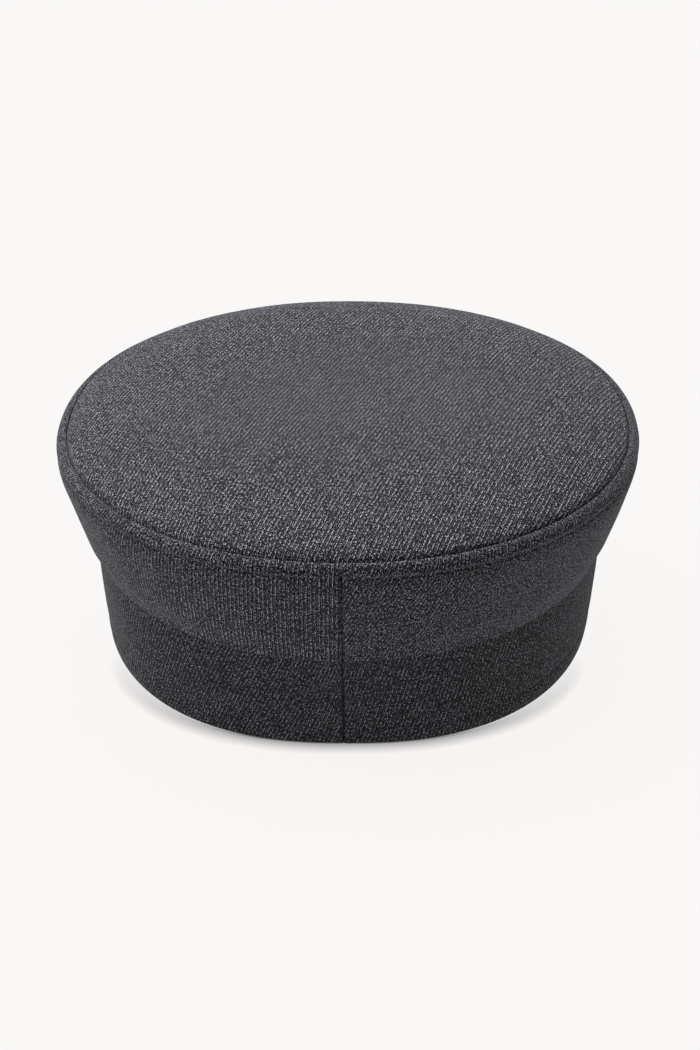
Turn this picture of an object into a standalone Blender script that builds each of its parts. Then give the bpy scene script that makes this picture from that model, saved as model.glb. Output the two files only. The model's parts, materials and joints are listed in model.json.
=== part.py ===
"""Baker boy cap in wool twill: an oval top, two flared side panels, a band and a peak.

Metres, +Z up. The peak points along -Y, so the centre back is at +Y and the wearer's left at +X.
Each piece is drawn in the cap's own frame, with the band's lower edge in the plane z = 0 and the
head opening's centre at the origin. The empty cap_at_rest then tips the cap back until it stands on
its peak and on the back of its band.
"""

import math
from collections import namedtuple

import bmesh
import bpy
from mathutils import Matrix, Vector

Oval = namedtuple("Oval", "width length back_power front_power forward")
Edge = namedtuple("Edge", "oval back_height front_height")
ProfileRow = namedtuple("ProfileRow", "height_share flare_share")
WallRow = namedtuple("WallRow", "height_share flare_share inset lift")
TipRow = namedtuple("TipRow", "radius_share rise_share")
PeakRow = namedtuple("PeakRow", "reach_share bow_share")

# Band: one strip round the head opening, measured over its outer face.
BAND_WIDTH = 0.1734
BAND_LENGTH = 0.1957
BAND_TOP_WIDTH = 0.1812
BAND_TOP_LENGTH = 0.2034
BAND_BACK_HEIGHT = 0.0360
BAND_FRONT_HEIGHT = 0.0274
BAND_WALL = 0.0024

# Rim: the rolled upper edge of the side panels, where the top is sewn in.
RIM_WIDTH = 0.2032
RIM_LENGTH = 0.2166
RIM_FORWARD = 0.0002
RIM_BACK_HEIGHT = 0.0760
RIM_FRONT_HEIGHT = 0.0634
SIDE_WALL = 0.0018
SIDE_SETBACK = 0.0004

# Top: one oval of cloth, puffed up into a dome with a round shoulder. Its highest point lies a
# little forward of the middle, and its edge dips below the rolled rim.
TIP_WALL = 0.0018
TIP_RISE = 0.0135
TIP_APEX_FORWARD = 0.018
TIP_DROP = 0.0006

# Peak: a stiff board covered with cloth, sewn on below the front of the band.
PEAK_LENGTH = 0.050
PEAK_WALL = 0.0030
PEAK_SLOPE = math.radians(28)
PEAK_HALF_TURN = math.radians(64)
PEAK_CAMBER = 0.0015
PEAK_TAPER = 2.2
PEAK_END_SHARE = 0.05

# Sewn pieces lie this far apart, and the cloth gives this much where the cap rests.
SEAM_GAP = 0.0003
REST_SETTLE = 0.00035

# How a folded and a butted cloth edge are rounded, as shares of the wall.
FOLDED = 0.45
BUTTED = 0.20
CORNER = 1 - math.cos(math.pi / 4)

# The side panel leaves the band at a slant, swells and turns upright below the rim.
SIDE_PROFILE = [
    ProfileRow(0.20, 0.37),
    ProfileRow(0.40, 0.62),
    ProfileRow(0.60, 0.84),
    ProfileRow(0.78, 1.02),
    ProfileRow(0.92, 1.03),
]

# The top from its edge to its middle.
TIP_PROFILE = [
    TipRow(1.000, 0.000),
    TipRow(0.987, 0.130),
    TipRow(0.965, 0.220),
    TipRow(0.937, 0.310),
    TipRow(0.885, 0.460),
    TipRow(0.820, 0.620),
    TipRow(0.740, 0.775),
    TipRow(0.650, 0.885),
    TipRow(0.520, 0.965),
    TipRow(0.400, 0.995),
]

# The peak from the band to its edge; it bows upward between them.
PEAK_PROFILE = [
    PeakRow(0.30, 0.84),
    PeakRow(0.60, 0.96),
    PeakRow(0.85, 0.51),
]

HALF_STEPS = 32
PEAK_STEPS = 24
BACK = math.pi / 2
FRONT = -math.pi / 2
CREASE = math.radians(40)
CUT_TOLERANCE = 1e-7

HEM_OVAL = Oval(BAND_WIDTH, BAND_LENGTH, 2.35, 2.1, 0)
BAND_TOP_OVAL = Oval(BAND_TOP_WIDTH, BAND_TOP_LENGTH, 2.06, 2.1, 0)
SIDE_FOOT_OVAL = BAND_TOP_OVAL._replace(
    width=BAND_TOP_WIDTH - 2 * SIDE_SETBACK,
    length=BAND_TOP_LENGTH - 2 * SIDE_SETBACK,
)
RIM_OVAL = Oval(RIM_WIDTH, RIM_LENGTH, 2.06, 2.15, RIM_FORWARD)

HEM = Edge(HEM_OVAL, 0, 0)
BAND_TOP = Edge(BAND_TOP_OVAL, BAND_BACK_HEIGHT, BAND_FRONT_HEIGHT)
SIDE_FOOT = Edge(SIDE_FOOT_OVAL, BAND_BACK_HEIGHT + SEAM_GAP, BAND_FRONT_HEIGHT + SEAM_GAP)
RIM = Edge(RIM_OVAL, RIM_BACK_HEIGHT, RIM_FRONT_HEIGHT)

CLOTH_COLORS = {
    "crown_tip": (0.088, 0.087, 0.097, 1),
    "side_panel_left": (0.070, 0.069, 0.078, 1),
    "side_panel_right": (0.068, 0.067, 0.076, 1),
    "band": (0.062, 0.061, 0.069, 1),
    "peak": (0.066, 0.065, 0.074, 1),
}


def clear_scene():
    for obj in list(bpy.data.objects):
        bpy.data.objects.remove(obj)


def signed_power(value, power):
    return math.copysign(abs(value) ** power, value)


def edge_place(edge, angle):
    """The point of an edge at this angle round the head, and the outward direction there."""
    oval = edge.oval
    power = oval.back_power if math.sin(angle) > 0 else oval.front_power
    across = math.cos(angle)
    along = math.sin(angle)
    x = signed_power(across, 2 / power) * oval.width / 2
    y = signed_power(along, 2 / power) * oval.length / 2 - oval.forward
    out = Vector(
        (
            signed_power(across, 2 - 2 / power) / oval.width,
            signed_power(along, 2 - 2 / power) / oval.length,
            0,
        )
    ).normalized()
    back_share = (y + oval.forward) / oval.length + 0.5
    height = edge.front_height + (edge.back_height - edge.front_height) * back_share
    return Vector((x, y, height)), out


def wall_point(foot, top, angle, row):
    """A point of a cloth wall that stands between two edges."""
    low, low_out = edge_place(foot, angle)
    high, high_out = edge_place(top, angle)
    place = low.lerp(high, row.flare_share)
    place.z = low.z + (high.z - low.z) * row.height_share + row.lift
    return place - low_out.lerp(high_out, row.height_share).normalized() * row.inset


def wall_rows(profile, wall, foot_edge, top_edge):
    """The wall's outer face from foot to top, its two edges rounded by shares of the wall."""
    foot_roll = foot_edge * wall
    top_roll = top_edge * wall
    rows = [
        WallRow(0, 0, foot_roll, 0),
        WallRow(0, 0, CORNER * foot_roll, CORNER * foot_roll),
        WallRow(0, 0, 0, foot_roll),
    ]
    rows += [WallRow(row.height_share, row.flare_share, 0, 0) for row in profile]
    rows += [
        WallRow(1, 1, 0, -top_roll),
        WallRow(1, 1, CORNER * top_roll, -CORNER * top_roll),
        WallRow(1, 1, top_roll, 0),
    ]
    return rows


def wall_station(foot, top, angle, rows, wall, shift):
    """The outer and the inner points of a wall's section at one angle, moved sideways by shift."""
    step = Vector((shift, 0, 0))
    outer = [wall_point(foot, top, angle, row) + step for row in rows]
    inner_rows = [row._replace(inset=wall - row.inset) for row in rows]
    inner = [wall_point(foot, top, angle, row) + step for row in inner_rows]
    return outer, inner


def wall_stations(foot, top, rows, wall, start, end, steps, start_shift, end_shift):
    """Sections from one seam to the next, the first and last moved off the seam's plane."""
    stations = []
    for step in range(steps + 1):
        shift = {0: start_shift, steps: end_shift}.get(step, 0)
        angle = start + (end - start) * step / steps
        stations.append(wall_station(foot, top, angle, rows, wall, shift))
    return stations


def peak_station(turn_share):
    """The peak's section at a share of its half turn: flat under the band, then sloping out."""
    place, out = edge_place(HEM, FRONT + turn_share * PEAK_HALF_TURN)
    taper = 1 - abs(turn_share) ** PEAK_TAPER
    length_share = PEAK_END_SHARE + (1 - PEAK_END_SHARE) * taper
    reach = PEAK_LENGTH * length_share * math.cos(PEAK_SLOPE)
    fall = PEAK_LENGTH * length_share * math.sin(PEAK_SLOPE)
    bow = PEAK_CAMBER * length_share
    depth = PEAK_WALL / math.cos(PEAK_SLOPE)
    roll = FOLDED * depth
    edge_reach = reach + (1 - CORNER) * roll
    top = [(-BAND_WALL, 0), (0, 0)]
    for row in PEAK_PROFILE:
        top.append((row.reach_share * reach, row.bow_share * bow - row.reach_share * fall))
    below = [(x, z - depth) for x, z in top]
    top += [(reach, -fall), (edge_reach, -fall - roll)]
    below += [(reach, -fall - depth), (edge_reach, -fall - depth + roll)]
    seat = place - Vector((0, 0, SEAM_GAP))
    rise = Vector((0, 0, 1))
    return (
        [seat + out * x + rise * z for x, z in top],
        [seat + out * x + rise * z for x, z in below],
    )


def solid_from_stations(stations):
    """A closed body lofted through sections, each a row of outer and a row of inner points."""
    mesh = bmesh.new()
    loops = []
    for outer, inner in stations:
        loops.append([mesh.verts.new(point) for point in [*outer, *reversed(inner)]])
    count = len(loops[0])
    for near, far in zip(loops, loops[1:]):
        for i in range(count):
            j = (i + 1) % count
            mesh.faces.new((near[i], near[j], far[j], far[i]))
    for loop in (loops[0], loops[-1]):
        for i in range(count // 2 - 1):
            mesh.faces.new((loop[i], loop[i + 1], loop[count - 2 - i], loop[count - 1 - i]))
    return mesh


def tip_apex():
    """The point of the rim's plane below the top's highest point."""
    back_share = 0.5 - TIP_APEX_FORWARD / RIM_LENGTH
    height = RIM_FRONT_HEIGHT + (RIM_BACK_HEIGHT - RIM_FRONT_HEIGHT) * back_share
    return Vector((0, -RIM_FORWARD - TIP_APEX_FORWARD, height))


def tip_ring(row, angles, drop):
    """One ring of the top at a share of its radius, this far below the rolled rim."""
    ring = []
    for angle in angles:
        place, out = edge_place(RIM, angle)
        edge = place - out * (SIDE_WALL + SEAM_GAP)
        point = tip_apex().lerp(edge, row.radius_share)
        ring.append(point + Vector((0, 0, TIP_RISE * row.rise_share - drop)))
    return ring


def solid_tip():
    """The domed top: matching rings above and below, closed at the edge and in the middle."""
    mesh = bmesh.new()
    count = 2 * HALF_STEPS
    angles = [2 * math.pi * i / count for i in range(count)]
    edge_rings = []
    for drop in (TIP_DROP, TIP_DROP + TIP_WALL):
        rings = [
            [mesh.verts.new(point) for point in tip_ring(row, angles, drop)]
            for row in TIP_PROFILE
        ]
        pole = mesh.verts.new(tip_apex() + Vector((0, 0, TIP_RISE - drop)))
        for near, far in zip(rings, rings[1:]):
            for i in range(count):
                j = (i + 1) % count
                mesh.faces.new((near[i], near[j], far[j], far[i]))
        for i in range(count):
            mesh.faces.new((rings[-1][i], rings[-1][(i + 1) % count], pole))
        edge_rings.append(rings[0])
    upper, lower = edge_rings
    for i in range(count):
        j = (i + 1) % count
        mesh.faces.new((upper[i], upper[j], lower[j], lower[i]))
    return mesh


def cloth_material(name):
    material = bpy.data.materials.new(name + "_cloth")
    material.use_nodes = True
    shader = material.node_tree.nodes["Principled BSDF"]
    shader.inputs["Base Color"].default_value = CLOTH_COLORS[name]
    shader.inputs["Roughness"].default_value = 0.92
    shader.inputs["Metallic"].default_value = 0.0
    return material


def add_piece(collection, parent, name, mesh):
    bmesh.ops.recalc_face_normals(mesh, faces=mesh.faces)
    data = bpy.data.meshes.new(name)
    mesh.to_mesh(data)
    mesh.free()
    data.materials.append(cloth_material(name))
    data.shade_smooth()
    data.set_sharp_from_angle(angle=CREASE)
    piece = bpy.data.objects.new(name, data)
    piece.parent = parent
    collection.objects.link(piece)
    return piece


def side_mesh(side):
    """Half of the sidewall, from the centre back to the centre front; side is 1 at +X, -1 at -X."""
    rows = wall_rows(SIDE_PROFILE, SIDE_WALL, BUTTED, FOLDED)
    shift = side * SEAM_GAP / 2
    end = BACK - side * math.pi
    stations = wall_stations(
        SIDE_FOOT, RIM, rows, SIDE_WALL, BACK, end, HALF_STEPS, shift, shift
    )
    return solid_from_stations(stations)


def band_mesh():
    """The band, a strip that goes once round the head from the centre-back seam."""
    middle = [ProfileRow(0.5, 0.5)]
    rows = wall_rows(middle, BAND_WALL, FOLDED, BUTTED)
    stations = wall_stations(
        HEM,
        BAND_TOP,
        rows,
        BAND_WALL,
        BACK,
        BACK + 2 * math.pi,
        2 * HALF_STEPS,
        -SEAM_GAP / 2,
        SEAM_GAP / 2,
    )
    return solid_from_stations(stations)


def peak_mesh():
    shares = [2 * step / PEAK_STEPS - 1 for step in range(PEAK_STEPS + 1)]
    return solid_from_stations([peak_station(share) for share in shares])


def rest_pose(pieces):
    """Tips the cap back about its hem until the peak touches, then centres it over the origin."""
    heel_y = BAND_LENGTH / 2 - FOLDED * BAND_WALL
    peak = pieces["peak"].data.vertices
    tilt = max(math.atan2(-v.co.z, heel_y - v.co.y) for v in peak)
    turn = Matrix.Rotation(-tilt, 4, "X")
    heel = turn @ Vector((0, heel_y, 0))
    depths = [(turn @ v.co).y for piece in pieces.values() for v in piece.data.vertices]
    middle_y = (min(depths) + max(depths)) / 2
    return Matrix.Translation((0, -middle_y, -heel.z - REST_SETTLE)) @ turn


def flatten_at_rest(piece, pose):
    """Presses what would lie below the surface flat against it."""
    to_cap = pose.inverted()
    mesh = bmesh.new()
    mesh.from_mesh(piece.data)
    cut = bmesh.ops.bisect_plane(
        mesh,
        geom=[*mesh.verts, *mesh.edges, *mesh.faces],
        dist=CUT_TOLERANCE,
        plane_co=to_cap @ Vector((0, 0, 0)),
        plane_no=to_cap.to_3x3() @ Vector((0, 0, 1)),
        clear_inner=True,
    )
    rim = [item for item in cut["geom_cut"] if isinstance(item, bmesh.types.BMEdge)]
    bmesh.ops.holes_fill(mesh, edges=rim)
    bmesh.ops.recalc_face_normals(mesh, faces=mesh.faces)
    mesh.to_mesh(piece.data)
    mesh.free()


clear_scene()
cap = bpy.data.collections.new("baker_boy_cap")
bpy.context.scene.collection.children.link(cap)
cap_at_rest = bpy.data.objects.new("cap_at_rest", None)
cap.objects.link(cap_at_rest)

meshes = {
    "crown_tip": solid_tip(),
    "side_panel_left": side_mesh(1),
    "side_panel_right": side_mesh(-1),
    "band": band_mesh(),
    "peak": peak_mesh(),
}
pieces = {name: add_piece(cap, cap_at_rest, name, mesh) for name, mesh in meshes.items()}
pose = rest_pose(pieces)
cap_at_rest.matrix_world = pose
for name in ("band", "peak"):
    flatten_at_rest(pieces[name], pose)
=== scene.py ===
import json
import math
from collections import namedtuple

import bmesh
import bpy
from mathutils import Matrix, Vector, noise


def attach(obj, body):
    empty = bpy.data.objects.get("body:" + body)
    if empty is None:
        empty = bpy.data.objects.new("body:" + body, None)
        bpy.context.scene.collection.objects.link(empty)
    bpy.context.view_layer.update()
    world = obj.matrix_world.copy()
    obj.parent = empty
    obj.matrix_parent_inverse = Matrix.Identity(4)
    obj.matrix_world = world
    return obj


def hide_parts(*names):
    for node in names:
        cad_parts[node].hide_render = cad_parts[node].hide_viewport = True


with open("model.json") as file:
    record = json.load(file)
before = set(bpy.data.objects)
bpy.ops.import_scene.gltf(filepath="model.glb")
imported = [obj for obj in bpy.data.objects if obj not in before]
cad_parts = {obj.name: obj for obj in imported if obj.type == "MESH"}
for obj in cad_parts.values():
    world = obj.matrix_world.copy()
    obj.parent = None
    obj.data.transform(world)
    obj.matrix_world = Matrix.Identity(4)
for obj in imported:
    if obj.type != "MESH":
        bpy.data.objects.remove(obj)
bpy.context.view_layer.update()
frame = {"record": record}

# The cap's own frame: the centre of the head opening, in the plane of the band's lower edge, with
# +Z towards the top. The cap leans back as it rests, on the tip of its peak and the back of its band.

opening = next(m for m in frame["record"]["mounts"] if m["name"] == "head_opening")
cap_up = -Vector(opening["axis"]).normalized()
cap_right = Vector((1, 0, 0))
cap_front = cap_up.cross(cap_right)
cap_at_rest = Matrix.Translation(opening["pos_m"]) @ Matrix(
    (cap_right, cap_front, cap_up)
).transposed().to_4x4()

# The camera looks at the back of the cap from above, with a long lens.

CAMERA_AIM = Vector((-0.00042, 0.0, 0.02490))
CAMERA_AZIMUTH = math.radians(181.23)
CAMERA_ELEVATION = math.radians(24.58)
CAMERA_ROLL = math.radians(-0.23)
CAMERA_DISTANCE = 0.882
CAMERA_LENS = 83.20

bpy.ops.object.select_all(action="DESELECT")
bpy.ops.object.camera_add()
camera = bpy.context.object
camera.name = "photo_camera"
back = Vector(
    (
        math.sin(CAMERA_AZIMUTH) * math.cos(CAMERA_ELEVATION),
        -math.cos(CAMERA_AZIMUTH) * math.cos(CAMERA_ELEVATION),
        math.sin(CAMERA_ELEVATION),
    )
)
level = Vector((0, 0, 1)).cross(back).normalized()
rise = back.cross(level)
right = level * math.cos(CAMERA_ROLL) + rise * math.sin(CAMERA_ROLL)
above = rise * math.cos(CAMERA_ROLL) - level * math.sin(CAMERA_ROLL)
camera_turn = Matrix((right, above, back)).transposed()
camera.matrix_world = (
    Matrix.Translation(Vector(opening["pos_m"]) + CAMERA_AIM + back * CAMERA_DISTANCE)
    @ camera_turn.to_4x4()
)
camera.data.lens = CAMERA_LENS
camera.data.clip_start = 0.02
camera.data.clip_end = 60
bpy.context.scene.camera = camera

# Studio: a pale table lit from below through its matt sheet, its glow darkened close round the cap by
# a painted contact shadow, a big overhead softbox that stands a little behind the cap, a weak one on
# the left of the picture, and dim light from the room.

TABLE_HALF = 14.0
TABLE_DROP = 0.0002
TABLE_GLOW = 0.932
PAINTED_SHADOW_REACH = 0.007
ROOM_LIGHT = 0.12

bpy.ops.mesh.primitive_plane_add(size=2 * TABLE_HALF, location=(0, 0, -TABLE_DROP))
table = bpy.context.object
table.name = "studio_table"
bpy.ops.object.transform_apply(location=True, rotation=True, scale=True)
paper = bpy.data.materials.new("lit_acrylic")
paper.use_nodes = True
paper_tree = paper.node_tree
paper_shader = paper_tree.nodes["Principled BSDF"]
paper_shader.inputs["Base Color"].default_value = (0.020, 0.0195, 0.0195, 1)
paper_shader.inputs["Roughness"].default_value = 1.0
paper_shader.inputs["Specular IOR Level"].default_value = 0.0
paper_shader.inputs["Emission Strength"].default_value = TABLE_GLOW
# Painted contact shadow: the table's glow is darkened where the cap stands close above it.
painted_contact_shadow = paper_tree.nodes.new("ShaderNodeAmbientOcclusion")
painted_contact_shadow.samples = 8
painted_contact_shadow.inputs["Color"].default_value = (0.990, 0.973, 0.964, 1)
painted_contact_shadow.inputs["Distance"].default_value = PAINTED_SHADOW_REACH
paper_tree.links.new(painted_contact_shadow.outputs["Color"], paper_shader.inputs["Emission Color"])
table.data.materials.append(paper)


def hang_softbox(name, energy, spread, towards, colour):
    """A soft far light that shines towards this direction, spread over this angle."""
    bpy.ops.object.light_add(type="SUN")
    box = bpy.context.object
    box.name = name
    box.data.energy = energy
    box.data.angle = math.radians(spread)
    box.data.color = colour
    box.rotation_euler = Vector(towards).to_track_quat("-Z", "Y").to_euler()


hang_softbox("overhead_softbox", 4.6, 60, (-0.25, 0.42, -1.0), (1.0, 0.998, 0.996))
hang_softbox("left_softbox", 1.05, 60, (-1.0, -0.25, -0.55), (1.0, 1.0, 1.0))
room = bpy.data.worlds.new("studio_room")
room.use_nodes = True
room.node_tree.nodes["Background"].inputs["Color"].default_value = (0.93, 0.93, 0.94, 1)
room.node_tree.nodes["Background"].inputs["Strength"].default_value = ROOM_LIGHT
bpy.context.scene.world = room
bpy.context.scene.view_settings.view_transform = "Standard"

# The top: one oval of wool twill, puffed up into a dome with a round shoulder. Its edge is turned
# down and sewn inside the rolled upper edge of the side panels, so a narrow crease runs round it.

Oval = namedtuple("Oval", "width length back_power front_power forward")
Edge = namedtuple("Edge", "oval back_height front_height")
RIM = Edge(Oval(0.2032, 0.2166, 2.06, 2.15, 0.0002), 0.0760, 0.0634)
SIDE_WALL = 0.0018
RIDGE_WALL = 0.0030
TIP_WALL = 0.0018
TIP_RISE = 0.0135
TIP_APEX_FORWARD = 0.018
TIP_DROP = 0.0006
TIP_GAP = 0.00002
TIP_SPOKES = 480
TIP_PROFILE = [(0, 1), (0.2, 1), (0.4, 0.99), (0.52, 0.96), (0.65, 0.88), (0.74, 0.775)]
TIP_PROFILE += [(0.82, 0.62), (0.885, 0.48), (0.937, 0.335), (0.965, 0.24), (1, 0.10)]
TIP_ROLL_SHARE = 0.017
TIP_ROLL_ROWS = 12
TIP_TURN_DOWN = 0.0022
TIP_WAVE = 0.00045
TIP_CALM_WIDTH = 0.030
TIP_EDGE_PUCKER = 0.00012
BACK = math.pi / 2
COAL = (0.003, 0.003, 0.004)


def signed_power(value, power):
    """A power that keeps the sign."""
    return math.copysign(abs(value) ** power, value)


def edge_place(edge, angle):
    """The point of an edge at this angle round the head, and the outward direction there."""
    oval = edge.oval
    power = oval.back_power if math.sin(angle) > 0 else oval.front_power
    across = math.cos(angle)
    along = math.sin(angle)
    x = signed_power(across, 2 / power) * oval.width / 2
    y = signed_power(along, 2 / power) * oval.length / 2 - oval.forward
    out = Vector(
        (
            signed_power(across, 2 - 2 / power) / oval.width,
            signed_power(along, 2 - 2 / power) / oval.length,
            0,
        )
    ).normalized()
    back_share = (y + oval.forward) / oval.length + 0.5
    height = edge.front_height + (edge.back_height - edge.front_height) * back_share
    return Vector((x, y, height)), out


def eased(rows, share):
    """A smooth curve through a table of (share, value) rows."""
    k = 0
    while k < len(rows) - 2 and share > rows[k + 1][0]:
        k += 1

    def slope(i):
        low, high = rows[max(i - 1, 0)], rows[min(i + 1, len(rows) - 1)]
        return (high[1] - low[1]) / (high[0] - low[0])

    (x0, y0), (x1, y1) = rows[k], rows[k + 1]
    span = x1 - x0
    t = (share - x0) / span
    h00, h10 = (1 + 2 * t) * (1 - t) ** 2, t * (1 - t) ** 2
    h01, h11 = t * t * (3 - 2 * t), t * t * (t - 1)
    return h00 * y0 + h10 * span * slope(k) + h01 * y1 + h11 * span * slope(k + 1)


def steady(share):
    """0 below 0, 1 above 1, and a soft step between."""
    share = min(max(share, 0), 1)
    return share * share * (3 - 2 * share)


def bell(off, reach):
    """1 in the middle, fading out on both sides."""
    return math.exp(-((off / reach) ** 2))


def wave(x, y, size, seed):
    """A slow, even unevenness between about -1 and 1."""
    return noise.noise(Vector((x / size, y / size, seed))) * 1.6


def finish_piece(name, mesh, uvs):
    """The piece as an object at the origin, in row place, with its pattern's map in metres."""
    data = bpy.data.meshes.new(name)
    mesh.verts.index_update()
    mesh.to_mesh(data)
    mesh.free()
    pattern = data.uv_layers.new(name="cut")
    for face in data.polygons:
        for corner, vertex in zip(face.loop_indices, face.vertices):
            pattern.data[corner].uv = uvs[vertex]
    data.transform(cap_at_rest)
    data.shade_smooth()
    piece = bpy.data.objects.new(name, data)
    bpy.context.scene.collection.objects.link(piece)
    return piece


def tip_turn(share):
    """How far the rolled edge of the top has turned down at this share of the radius."""
    off_edge = min((1 - share) / TIP_ROLL_SHARE, 1)
    return TIP_TURN_DOWN * (1 - math.sqrt(1 - (1 - off_edge) ** 2))


def tip_point(share, angle):
    """The top's upper face."""
    edge, out = edge_place(RIM, angle)
    edge = edge - out * (RIDGE_WALL + TIP_GAP)
    back_share = 0.5 - TIP_APEX_FORWARD / RIM.oval.length
    apex_height = RIM.front_height + (RIM.back_height - RIM.front_height) * back_share
    apex = Vector((0, -RIM.oval.forward - TIP_APEX_FORWARD, apex_height))
    place = apex.lerp(edge, share)
    inwards = (1 - share) * (edge - apex).length
    lift = TIP_RISE * eased(TIP_PROFILE, share) - TIP_DROP
    calm = steady(inwards / TIP_CALM_WIDTH)
    slow = wave(place.x, place.y, 0.060, 3.1)
    lift += TIP_WAVE * calm * (slow + 0.4 * wave(place.x, place.y, 0.022, 8.7))
    lift += TIP_EDGE_PUCKER * math.exp(-inwards / 0.004) * wave(angle * 0.1, 0, 0.0045, 5.3)
    lift -= tip_turn(share)
    place.z += lift
    return place


tip_shares = []
for k in range(TIP_ROLL_ROWS + 1):
    tip_shares.append(1 - TIP_ROLL_SHARE * (1 - math.cos(math.pi / 2 * k / TIP_ROLL_ROWS)))
tip_shares += [0.977, 0.972, 0.966, 0.959, 0.951, 0.942]
tip_shares += [0.93 - 0.0155 * k for k in range(60)]
tip_mesh = bmesh.new()
tip_cut = []
tip_edges = []
for drop in (0, TIP_WALL):
    rings = []
    for share in tip_shares:
        ring = []
        for k in range(TIP_SPOKES):
            place = tip_point(share, 2 * math.pi * k / TIP_SPOKES)
            place.z -= drop
            ring.append(tip_mesh.verts.new(place))
            grown = 1 + tip_turn(share) / math.hypot(place.x, place.y)
            tip_cut.append((-place.x * grown, -place.y * grown))
        rings.append(ring)
    for outer, inner in zip(rings, rings[1:]):
        for k in range(TIP_SPOKES):
            j = (k + 1) % TIP_SPOKES
            tip_mesh.faces.new((outer[k], outer[j], inner[j], inner[k]))
    pole = tip_point(0, 0)
    pole.z -= drop
    middle = tip_mesh.verts.new(pole)
    tip_cut.append((-pole.x, -pole.y))
    for k in range(TIP_SPOKES):
        tip_mesh.faces.new((rings[-1][k], rings[-1][(k + 1) % TIP_SPOKES], middle))
    tip_edges.append(rings[0])
for k in range(TIP_SPOKES):
    j = (k + 1) % TIP_SPOKES
    tip_mesh.faces.new((tip_edges[0][k], tip_edges[0][j], tip_edges[1][j], tip_edges[1][k]))
bmesh.ops.recalc_face_normals(tip_mesh, faces=tip_mesh.faces)
crown_tip = finish_piece("wool_top", tip_mesh, tip_cut)


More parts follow.
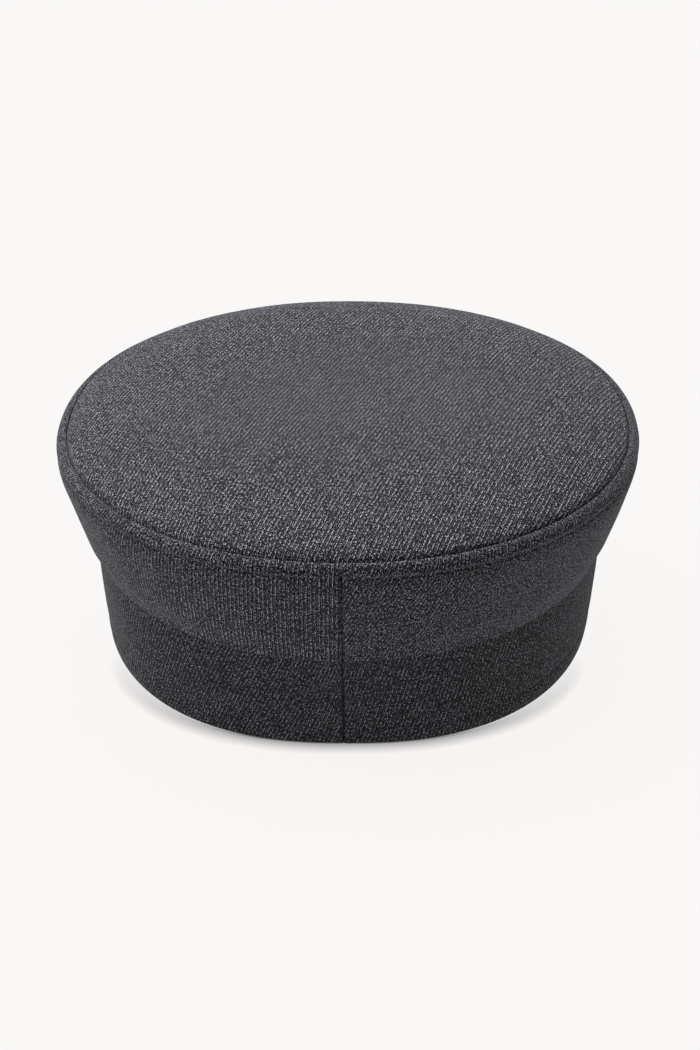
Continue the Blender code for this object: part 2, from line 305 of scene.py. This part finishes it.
def wool_twill(name, dark, light, pitch, lines, grain):
    """Charcoal wool twill in melange yarn: ridges this far apart run at this slope on the cut."""
    cloth = bpy.data.materials.new(name)
    cloth.use_nodes = True
    tree = cloth.node_tree
    shader = tree.nodes["Principled BSDF"]

    def node(kind, **settings):
        made = tree.nodes.new(kind)
        for key, value in settings.items():
            setattr(made, key, value)
        return made

    def feed(socket, value):
        if isinstance(value, (int, float)):
            socket.default_value = value
        else:
            tree.links.new(value, socket)

    def work(operation, a, b=0.0, c=0.0, clamp=False):
        made = node("ShaderNodeMath", operation=operation, use_clamp=clamp)
        for socket, value in zip(made.inputs, (a, b, c)):
            feed(socket, value)
        return made.outputs[0]

    def cloud(vector, scale, detail, rough=0.5):
        made = node("ShaderNodeTexNoise")
        made.inputs["Scale"].default_value = scale
        made.inputs["Detail"].default_value = detail
        made.inputs["Roughness"].default_value = rough
        tree.links.new(vector, made.inputs["Vector"])
        return made.outputs[0]

    cut = node("ShaderNodeUVMap", uv_map="cut").outputs[0]
    turned = node("ShaderNodeMapping", vector_type="POINT")
    turned.inputs["Rotation"].default_value = (0, 0, -lines)
    tree.links.new(cut, turned.inputs["Vector"])
    parts = node("ShaderNodeSeparateXYZ")
    tree.links.new(turned.outputs[0], parts.inputs[0])

    # The ridges wander a little, as the yarns do.
    wander = work("MULTIPLY", work("SUBTRACT", cloud(cut, 120, 1.0), 0.5), 0.22)
    drift = work("MULTIPLY", work("SUBTRACT", cloud(cut, 700, 1.0), 0.5), 0.14)
    across = work("ADD", work("MULTIPLY", parts.outputs[1], 1 / pitch), work("ADD", wander, drift))
    row = work("FLOOR", across)
    in_row = work("FRACT", across)
    strand = work("MULTIPLY", across, 2.0)
    in_strand = work("FRACT", strand)
    strong = work("SUBTRACT", 1.0, work("MODULO", work("ADD", work("FLOOR", strand), 2000.0), 2.0))

    def crowned(share, power):
        """1 in the middle of a yarn or a float, 0 at its edges."""
        off = work("ABSOLUTE", work("SUBTRACT", work("MULTIPLY", share, 2.0), 1.0))
        return work("SUBTRACT", 1.0, work("POWER", off, power))

    def floats(length, seed):
        """(throw of the dice, place) for lengths of yarn laid end to end along each ridge."""
        row_throw = node("ShaderNodeTexWhiteNoise", noise_dimensions="1D")
        tree.links.new(work("ADD", row, seed), row_throw.inputs["W"])
        shift = work("MULTIPLY", row_throw.outputs[0], 9.0)
        along = work("MULTIPLY_ADD", parts.outputs[0], 1 / length, shift)
        pair = node("ShaderNodeCombineXYZ")
        tree.links.new(row, pair.inputs[0])
        tree.links.new(work("FLOOR", along), pair.inputs[1])
        pair.inputs[2].default_value = seed
        throw = node("ShaderNodeTexWhiteNoise", noise_dimensions="3D")
        tree.links.new(pair.outputs[0], throw.inputs["Vector"])
        return throw.outputs[0], work("FRACT", along)

    ridge = work("MULTIPLY", crowned(in_strand, 1.3), work("MULTIPLY_ADD", strong, 0.62, 0.38))
    stitch_throw, in_stitch = floats(0.62 * pitch, 0.0)
    yarn_throw = floats(1.2 * pitch, 17.0)[0]
    knuckle = work("MULTIPLY_ADD", crowned(in_stitch, 2.0), 0.6, 0.4)
    floating = work("MULTIPLY", ridge, knuckle)

    # Stretched fibres of light and dark wool, and single bright ones.
    stretched = node("ShaderNodeMapping", vector_type="POINT")
    stretched.inputs["Scale"].default_value = (0.5, 1.0, 1.0)
    tree.links.new(turned.outputs[0], stretched.inputs["Vector"])
    fibre = cloud(stretched.outputs[0], 2400, 1.0, 0.6)
    melange = cloud(cut, 1850, 1.0, 0.5)
    patch = cloud(cut, 42, 2.0)
    yarn = work("MULTIPLY_ADD", stitch_throw, 0.75, 0.15)
    yarn = work("MULTIPLY_ADD", work("POWER", yarn_throw, 2.0), 0.32, yarn)
    tone = work("MULTIPLY", floating, yarn)
    tone = work("MULTIPLY_ADD", work("SUBTRACT", melange, 0.5), 1.9 * grain, tone)
    tone = work("MULTIPLY_ADD", work("SUBTRACT", fibre, 0.5), 2.7 * grain, tone)
    tone = work("MULTIPLY_ADD", work("SUBTRACT", patch, 0.5), 0.07, tone)
    gap = work("MULTIPLY_ADD", crowned(in_row, 3.0), 0.65, 0.35)
    tone = work("POWER", work("MULTIPLY", work("ADD", tone, 0.06, clamp=True), gap), 2.1)
    colours = node("ShaderNodeValToRGB")
    colours.color_ramp.elements[0].color = (*dark, 1)
    colours.color_ramp.elements[1].color = (*light, 1)
    tree.links.new(tone, colours.inputs[0])
    tree.links.new(colours.outputs[0], shader.inputs["Base Color"])

    relief = work("ADD", work("MULTIPLY", floating, 0.7), work("MULTIPLY", fibre, 0.35))
    bump = node("ShaderNodeBump")
    bump.inputs["Strength"].default_value = 1.0
    bump.inputs["Distance"].default_value = 0.00015
    tree.links.new(relief, bump.inputs["Height"])
    tree.links.new(bump.outputs[0], shader.inputs["Normal"])
    rough = work("MULTIPLY_ADD", fibre, 0.16, 0.80)
    tree.links.new(rough, shader.inputs["Roughness"])
    shader.inputs["Specular IOR Level"].default_value = 0.15
    shader.inputs["Sheen Weight"].default_value = 0.09
    shader.inputs["Sheen Roughness"].default_value = 0.45
    shader.inputs["Sheen Tint"].default_value = (0.80, 0.80, 0.86, 1)
    return cloth


crown_tip.data.materials.append(
    wool_twill("top_twill", COAL, (0.428, 0.422, 0.481), 0.00142, math.radians(70), 1.1)
)
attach(crown_tip, "root")
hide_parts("crown_tip")

# The side panels: two strips of the same twill cut to a curve, sewn together at the centre back and
# the centre front. They slant out from the band, and their upper edge is rolled over the top's edge
# and stitched through about 4 mm below it.

BAND_TOP = Edge(Oval(0.1812, 0.2034, 2.06, 2.1, 0), 0.0360, 0.0274)
SIDE_SETBACK = 0.0004
SIDE_LIFT = 0.00001
SIDE_FOOT = Edge(
    BAND_TOP.oval._replace(
        width=BAND_TOP.oval.width - 2 * SIDE_SETBACK,
        length=BAND_TOP.oval.length - 2 * SIDE_SETBACK,
    ),
    BAND_TOP.back_height + SIDE_LIFT,
    BAND_TOP.front_height + SIDE_LIFT,
)
SIDE_PROFILE = [(0, 0), (0.2, 0.37), (0.4, 0.62), (0.6, 0.84), (0.78, 1.02), (0.92, 1.03), (1, 1)]
SIDE_ROLL_HEIGHT = 0.0027
SIDE_ROLL_DEPTH = 0.0024
RIM_STITCH_DROP = 0.0044
STITCH_PITCH = 0.0031
SIDE_STEP = 0.0010
SIDE_WAVE = 0.00045
SIDE_OVERHANG = 0.0005
SIDE_CUT_RADIUS = 0.38
RIDGE_SWELL = 0.00035
RIM_GROOVE = 0.00045
GROOVE_REACH = 0.0006
SEAM_DIP = 0.0016
SEAM_DIP_REACH = 0.0005
SEAM_PUCKER = 0.0001
FRONT_SEAM_SHARE = 0.3
RIM_SEAM_SHARE = 0.2
CORNER = 0.00012
SIDES = ((1, "left", 2.3), (-1, "right", 11.9))


def walked_edge(edge, start, end, count=4000):
    """(length walked, angle) at close steps along an edge."""
    walk = [(0.0, start)]
    before = edge_place(edge, start)[0]
    for k in range(1, count + 1):
        angle = start + (end - start) * k / count
        place = edge_place(edge, angle)[0]
        walk.append((walk[-1][0] + (place - before).length, angle))
        before = place
    return walk


def angle_at(walk, length):
    """The angle where this length has been walked."""
    low, high = 0, len(walk) - 1
    while high - low > 1:
        half = (low + high) // 2
        if walk[half][0] <= length:
            low = half
        else:
            high = half
    (l0, a0), (l1, a1) = walk[low], walk[high]
    return a0 + (a1 - a0) * (length - l0) / (l1 - l0)


def column_lengths(total, step):
    """Where the columns of a strip stand: close together at its two sewn ends."""
    ends = [0, 0.00012, 0.00026, 0.00042, 0.0006, 0.0008, 0.00105, 0.00135, 0.0017, 0.0022, 0.0029]
    inner = total - 2 * ends[-1]
    count = round(inner / step)
    middle = [ends[-1] + inner * k / count for k in range(1, count)]
    return ends + middle + [total - length for length in reversed(ends)]


def strip_solid(columns):
    """A closed body from columns, each one loop of points round the strip's section."""
    mesh = bmesh.new()
    loops = [[mesh.verts.new(point) for point in column] for column in columns]
    count = len(loops[0])
    for near, far in zip(loops, loops[1:]):
        for i in range(count):
            j = (i + 1) % count
            mesh.faces.new((near[i], near[j], far[j], far[i]))
    for loop in (loops[0], loops[-1]):
        mesh.faces.new(loop)
    bmesh.ops.recalc_face_normals(mesh, faces=mesh.faces)
    return mesh


def seam_dip(off):
    """How far the cloth turns in at this distance from the seam at the end of a strip."""
    dip = SEAM_DIP * math.exp(-((off / SEAM_DIP_REACH) ** 1.5))
    return dip - SEAM_PUCKER * bell(off - 0.0017, 0.0010)


def curved_cut(length, up, radius):
    """A point of a strip that was cut to a curve with this radius at its lower edge."""
    turn = length / radius
    return (radius + up) * math.sin(turn), (radius + up) * math.cos(turn) - radius


def side_rise(angle):
    """The height of a side panel at this angle."""
    return edge_place(RIM, angle)[0].z - edge_place(SIDE_FOOT, angle)[0].z


def side_face(angle, length, total, seed, height, inset=0.0):
    """A point of a side panel's outer face, or this far inside it."""
    low, low_out = edge_place(SIDE_FOOT, angle)
    high, high_out = edge_place(RIM, angle)
    rise_here = high.z - low.z
    share = height / rise_here
    place = low.lerp(high, eased(SIDE_PROFILE, share))
    place.z = low.z + height
    out = low_out.lerp(high_out, share).normalized()
    below = rise_here - height
    swell = RIDGE_SWELL * bell(below - SIDE_ROLL_HEIGHT, 0.0012)
    stitch_pull = 0.8 + 0.35 * math.cos(2 * math.pi * length / STITCH_PITCH)
    groove = RIM_GROOVE * stitch_pull * bell(below - RIM_STITCH_DROP, GROOVE_REACH)
    overhang = SIDE_OVERHANG * bell(height, 0.0030)
    calm = steady((below - 0.002) / 0.012) * steady(height / 0.010)
    slow = wave(length, height, 0.034, seed)
    soft = SIDE_WAVE * calm * (slow + 0.35 * wave(length, height, 0.012, seed + 5))
    dip = seam_dip(length) + FRONT_SEAM_SHARE * seam_dip(total - length)
    dip *= RIM_SEAM_SHARE + (1 - RIM_SEAM_SHARE) * steady((below - 0.0015) / 0.003)
    return place + out * (swell - groove + overhang + soft - dip - inset)


def side_column(angle, length, total, seed):
    """The section of a side panel: up its outer face, over the roll and down the inner face."""
    rise_here = side_rise(angle)

    def outer(height, inset=0.0):
        return side_face(angle, length, total, seed, height, inset)

    near_top = rise_here - 0.0078
    roll = SIDE_ROLL_HEIGHT
    heights = [CORNER + (near_top - CORNER) * k / 34 for k in range(35)]
    heights += [near_top + (rise_here - roll - near_top) * k / 22 for k in range(1, 23)]
    points = [
        outer(CORNER * (1 - math.cos(turn)), CORNER * (1 - math.sin(turn)))
        for turn in (0, math.pi / 6, math.pi / 3)
    ]
    points += [outer(height) for height in heights]
    for k in range(1, 10):
        turn = math.pi / 2 * k / 9
        inset = SIDE_ROLL_DEPTH * (1 - math.cos(turn))
        points.append(outer(rise_here - roll * (1 - math.sin(turn)), inset))
    tuck = RIDGE_WALL - SIDE_ROLL_DEPTH
    for k in range(1, 6):
        turn = math.pi / 2 * k / 5
        inset = SIDE_ROLL_DEPTH + tuck * math.sin(turn)
        points.append(outer(rise_here - tuck * (1 - math.cos(turn)), inset))
    for k in range(1, 21):
        height = (rise_here - tuck) * (1 - k / 20)
        folded = steady((height - rise_here + 0.0050) / 0.0020)
        points.append(outer(height, SIDE_WALL + (RIDGE_WALL - SIDE_WALL) * folded))
    return points


def section_walk(points):
    """Length along a section's points from its first one."""
    walk = [0.0]
    for before, after in zip(points, points[1:]):
        walk.append(walk[-1] + (after - before).length)
    return walk


side_panels = {}
for side, name, seed in SIDES:
    walk = walked_edge(RIM, BACK, BACK - side * math.pi)
    total = walk[-1][0]
    columns = []
    cut = []
    for length in column_lengths(total, SIDE_STEP):
        column = side_column(angle_at(walk, length), length, total, seed)
        columns.append(column)
        cut += [curved_cut(-side * length, up, SIDE_CUT_RADIUS) for up in section_walk(column)]
    panel = finish_piece(f"side_cloth_{name}", strip_solid(columns), cut)
    side_panels[name] = (panel, walk, total, seed)
    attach(panel, "root")
    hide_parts(f"side_panel_{name}")
# The panels take darker copies of the top's twill colour: painted shade, standing in for the lesser
# light on the upright sides.
side_panels["left"][0].data.materials.append(
    wool_twill("left_side_twill", COAL, (0.350, 0.345, 0.394), 0.00152, math.radians(89), 1.25)
)
side_panels["right"][0].data.materials.append(
    wool_twill("right_side_twill", COAL, (0.292, 0.288, 0.329), 0.00133, math.radians(59), 1.5)
)

# The stitches through the side panels below the rim: short lengths of dark thread, pulled into the
# cloth at both ends, one row on each panel. One is modelled and copied along the row.

THREAD_LENGTH = 0.0025
THREAD_WIDTH = 0.00042
THREAD_HEIGHT = 0.00030
THREAD_SINK = 0.00003
SEAT_STEP = 0.0006
SEAT_RISE = 0.0012

thread = bpy.data.materials.new("dark_thread")
thread.use_nodes = True
thread_tree = thread.node_tree
thread_shader = thread_tree.nodes["Principled BSDF"]
thread_place = thread_tree.nodes.new("ShaderNodeTexCoord")
plies = thread_tree.nodes.new("ShaderNodeTexNoise")
plies.inputs["Scale"].default_value = 3200
plies.inputs["Detail"].default_value = 1.0
thread_colours = thread_tree.nodes.new("ShaderNodeValToRGB")
thread_colours.color_ramp.elements[0].position = 0.35
thread_colours.color_ramp.elements[0].color = (0.006, 0.006, 0.007, 1)
thread_colours.color_ramp.elements[1].position = 0.75
thread_colours.color_ramp.elements[1].color = (0.060, 0.059, 0.064, 1)
thread_bump = thread_tree.nodes.new("ShaderNodeBump")
thread_bump.inputs["Distance"].default_value = 0.00008
thread_tree.links.new(thread_place.outputs["Object"], plies.inputs["Vector"])
thread_tree.links.new(plies.outputs[0], thread_colours.inputs[0])
thread_tree.links.new(thread_colours.outputs[0], thread_shader.inputs["Base Color"])
thread_tree.links.new(plies.outputs[0], thread_bump.inputs["Height"])
thread_tree.links.new(thread_bump.outputs[0], thread_shader.inputs["Normal"])
thread_shader.inputs["Roughness"].default_value = 0.7

bpy.ops.object.select_all(action="DESELECT")
bpy.ops.mesh.primitive_uv_sphere_add(segments=8, ring_count=5, radius=0.5)
stitch = bpy.context.object
stitch.name = "stitch"
bpy.ops.transform.resize(value=(THREAD_LENGTH, THREAD_WIDTH, THREAD_HEIGHT))
bpy.ops.object.transform_apply(location=True, rotation=True, scale=True)
bpy.ops.object.shade_smooth()
stitch.data.materials.append(thread)


def sew(name, seats):
    """A row of stitches, one copy for each (place, direction of the row, way out of the cloth)."""
    bpy.ops.object.select_all(action="DESELECT")
    row = []
    for place, along, out in seats:
        copy = stitch.copy()
        copy.data = stitch.data.copy()
        bpy.context.scene.collection.objects.link(copy)
        along = along.normalized()
        across = out.cross(along).normalized()
        turn = Matrix((along, across, along.cross(across))).transposed().to_4x4()
        copy.data.transform(cap_at_rest @ Matrix.Translation(place) @ turn)
        copy.select_set(True)
        row.append(copy)
    bpy.context.view_layer.objects.active = row[0]
    bpy.ops.object.join()
    row[0].name = name
    row[0].data.name = name
    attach(row[0], "root")
    return row[0]


def seats_along(face, walk, height_at, total):
    """Where stitches sit in a row across a strip's face, from one sewn end to the other."""
    seats = []
    for k in range(1, int(total / STITCH_PITCH)):
        length = k * STITCH_PITCH
        angle = angle_at(walk, length)
        height = height_at(angle)
        near = face(angle_at(walk, length - SEAT_STEP), length - SEAT_STEP, height)
        far = face(angle_at(walk, length + SEAT_STEP), length + SEAT_STEP, height)
        raised = face(angle, length, height + SEAT_RISE)
        low = face(angle, length, height - SEAT_RISE)
        along = far - near
        out = along.cross(raised - low).normalized()
        middle = face(angle, length, height)
        if out.dot(Vector((middle.x, middle.y, 0))) < 0:
            out = -out
        seats.append((middle - out * THREAD_SINK, along, out))
    return seats


for name, (panel, walk, total, seed) in side_panels.items():

    def panel_face(angle, length, height):
        return side_face(angle, length, total, seed, height)

    seats = seats_along(panel_face, walk, lambda angle: side_rise(angle) - RIM_STITCH_DROP, total)
    rim_stitches = sew(f"rim_stitches_{name}", seats)

# The band: a strip of doubled twill once round the head, its ends meeting in a seam at the centre
# back. Its lower edge is a fold with a row of stitches above it, and the back of it rests flat.

HEM = Edge(Oval(0.1734, 0.1957, 2.35, 2.1, 0), 0, 0)
BAND_WALL = 0.0024
BAND_STEP = 0.0010
BAND_WAVE = 0.00040
HEM_STITCH_RISE = 0.0072
HEM_GROOVE = 0.0003
HEM_FOLD_SWELL = 0.00015
HEM_SEAM_SHARE = 0.15
BAND_BOW = 0.0145
REST_LEVEL = 0.00002


def band_face(angle, length, total, height, inset=0.0):
    """A point of the band's outer face, or this far inside it."""
    low, low_out = edge_place(HEM, angle)
    high, high_out = edge_place(BAND_TOP, angle)
    rise_here = high.z - low.z
    share = height / rise_here
    place = low.lerp(high, share)
    place.z = low.z + height
    out = low_out.lerp(high_out, share).normalized()
    below = rise_here - height
    stitch_pull = 0.8 + 0.3 * math.cos(2 * math.pi * length / STITCH_PITCH)
    groove = HEM_GROOVE * stitch_pull * bell(height - HEM_STITCH_RISE, GROOVE_REACH)
    fold = HEM_FOLD_SWELL * bell(height - 0.0035, 0.0022)
    calm = steady(height / 0.012) * steady(below / 0.010)
    slow = wave(length, height, 0.040, 21.4)
    soft = BAND_WAVE * calm * (slow + 0.35 * wave(length, height, 0.013, 27.7))
    dip = seam_dip(length) + seam_dip(total - length)
    dip *= HEM_SEAM_SHARE + (1 - HEM_SEAM_SHARE) * steady(height / 0.004)
    return place + out * (fold - groove + soft - dip - inset)


def band_column(angle, length, total):
    """The section of the band: up its outer face from the fold, and down its inner face."""
    rise_here = edge_place(BAND_TOP, angle)[0].z
    roll = BAND_WALL / 2

    def outer(height, inset=0.0):
        return band_face(angle, length, total, height, inset)

    points = []
    for k in range(9):
        turn = math.pi / 2 * k / 9
        points.append(outer(roll * (1 - math.cos(turn)), roll * (1 - math.sin(turn))))
    heights = [roll + (rise_here - CORNER - roll) * k / 64 for k in range(65)]
    points += [outer(height) for height in heights]
    for turn in (math.pi / 6, math.pi / 3, math.pi / 2):
        height = rise_here - CORNER + CORNER * math.sin(turn)
        points.append(outer(height, CORNER * (1 - math.cos(turn))))
    points += [outer(rise_here - (rise_here - roll) * k / 18, BAND_WALL) for k in range(19)]
    for k in range(1, 6):
        turn = math.pi / 2 * k / 6
        points.append(outer(roll * (1 - math.sin(turn)), roll * (1 + math.cos(turn))))
    return points


def press_flat(piece):
    """Cloth that would lie below the table is pressed flat against it."""
    for vertex in piece.data.vertices:
        vertex.co.z = max(vertex.co.z, REST_LEVEL)


band_walk = walked_edge(HEM, BACK, BACK + 2 * math.pi, 8000)
band_total = band_walk[-1][0]
band_columns = []
band_cut = []
for length in column_lengths(band_total, BAND_STEP):
    column = band_column(angle_at(band_walk, length), length, band_total)
    band_columns.append(column)
    bow = BAND_BOW * (1 - math.cos(2 * math.pi * length / band_total))
    band_cut += [(length, up + bow) for up in section_walk(column)]
band = finish_piece("band_cloth", strip_solid(band_columns), band_cut)
press_flat(band)
# The band takes a darker copy still of the twill colour: painted shade, standing in for the lesser
# light low on the cap.
band_dark_painted_shade = (0.002, 0.002, 0.003)
band.data.materials.append(
    wool_twill("band_twill", band_dark_painted_shade, (0.262, 0.258, 0.294), 0.00135, math.radians(70), 1.1)
)
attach(band, "root")
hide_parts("band")
hem_seats = seats_along(
    lambda angle, length, height: band_face(angle, length, band_total, height),
    band_walk,
    lambda angle: HEM_STITCH_RISE,
    band_total,
)
hem_stitches = sew("hem_stitches", hem_seats)

# The peak: a stiff board covered with the same twill, sewn on below the front of the band. The
# cloth is sewn through near the edge.

PEAK_LENGTH = 0.050
PEAK_WALL = 0.0030
PEAK_SLOPE = math.radians(28)
PEAK_HALF_TURN = math.radians(64)
PEAK_CAMBER = 0.0015
PEAK_TAPER = 2.2
PEAK_END_SHARE = 0.05
PEAK_BOW = [(0, 0), (0.3, 0.84), (0.6, 0.96), (0.85, 0.51), (1, 0)]
PEAK_COLUMNS = 220
PEAK_ROWS = 44
PEAK_STITCH_INSET = 0.0055
PEAK_GROOVE = 0.0003
PEAK_TUCK = 0.9
PEAK_EDGE_BULGE = 0.45
PEAK_SEAT = 0.00005


def peak_section(turn_share):
    """The peak's upper and under face at a share of its half turn, and its edge's roll."""
    place, out = edge_place(HEM, -BACK + turn_share * PEAK_HALF_TURN)
    length_share = PEAK_END_SHARE + (1 - PEAK_END_SHARE) * (1 - abs(turn_share) ** PEAK_TAPER)
    depth = PEAK_WALL / math.cos(PEAK_SLOPE)
    reach = PEAK_LENGTH * length_share * math.cos(PEAK_SLOPE)
    fall = PEAK_LENGTH * length_share * math.sin(PEAK_SLOPE)
    seat = place + Vector((0, 0, PEAK_SEAT))
    tucked_in = seat - out * BAND_WALL * PEAK_TUCK
    rise_up = Vector((0, 0, 1))

    def face(share, drop, inset=0.0):
        across = share * reach - inset
        lift = PEAK_CAMBER * length_share * eased(PEAK_BOW, share) - share * fall
        edge_off = (1 - share) * PEAK_LENGTH * length_share
        groove = PEAK_GROOVE * bell(edge_off - PEAK_STITCH_INSET, GROOVE_REACH)
        groove *= min(length_share * 3, 1)
        return seat + out * across + rise_up * (lift - drop + (groove if drop else -groove))

    points = [tucked_in]
    points += [face(k / PEAK_ROWS, 0) for k in range(PEAK_ROWS + 1)]
    for k in range(1, 8):
        turn = math.pi * k / 8
        roll = depth / 2
        bulge = PEAK_EDGE_BULGE * roll * math.sin(turn)
        points.append(face(1, roll * (1 - math.cos(turn)), -bulge))
    points += [face(1 - k / PEAK_ROWS, depth) for k in range(PEAK_ROWS + 1)]
    points.append(tucked_in - rise_up * depth)
    return points


def peak_stitch_place(turn_share):
    """The point of the peak's upper face that lies this far inside its edge."""
    points = peak_section(turn_share)[1 : PEAK_ROWS + 2]
    k = PEAK_ROWS
    while k > 1 and (points[k] - points[-1]).length < PEAK_STITCH_INSET:
        k -= 1
    return points[k]


peak_columns = []
peak_cut = []
for k in range(PEAK_COLUMNS + 1):
    turn_share = 2 * k / PEAK_COLUMNS - 1
    column = peak_section(turn_share)
    peak_columns.append(column)
    out = edge_place(HEM, -BACK + turn_share * PEAK_HALF_TURN)[1]
    walk = section_walk(column)
    for i, point in enumerate(column):
        past = out * max(walk[i] - walk[PEAK_ROWS + 1], 0)
        flat = point if i <= PEAK_ROWS + 1 else column[PEAK_ROWS + 1] + past
        peak_cut.append((flat.x, flat.y))
peak = finish_piece("peak_cloth", strip_solid(peak_columns), peak_cut)
press_flat(peak)
peak.data.materials.append(
    wool_twill("peak_twill", COAL, (0.300, 0.297, 0.333), 0.00140, math.radians(60), 1.1)
)
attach(peak, "root")
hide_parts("peak")

peak_seats = []
for k in range(12, PEAK_COLUMNS - 11, 2):
    near, middle, far = (peak_stitch_place(2 * j / PEAK_COLUMNS - 1) for j in (k - 1, k, k + 1))
    peak_seats.append((middle, far - near, Vector((0, 0, 1))))
sew("peak_stitches", peak_seats)
bpy.data.objects.remove(stitch)
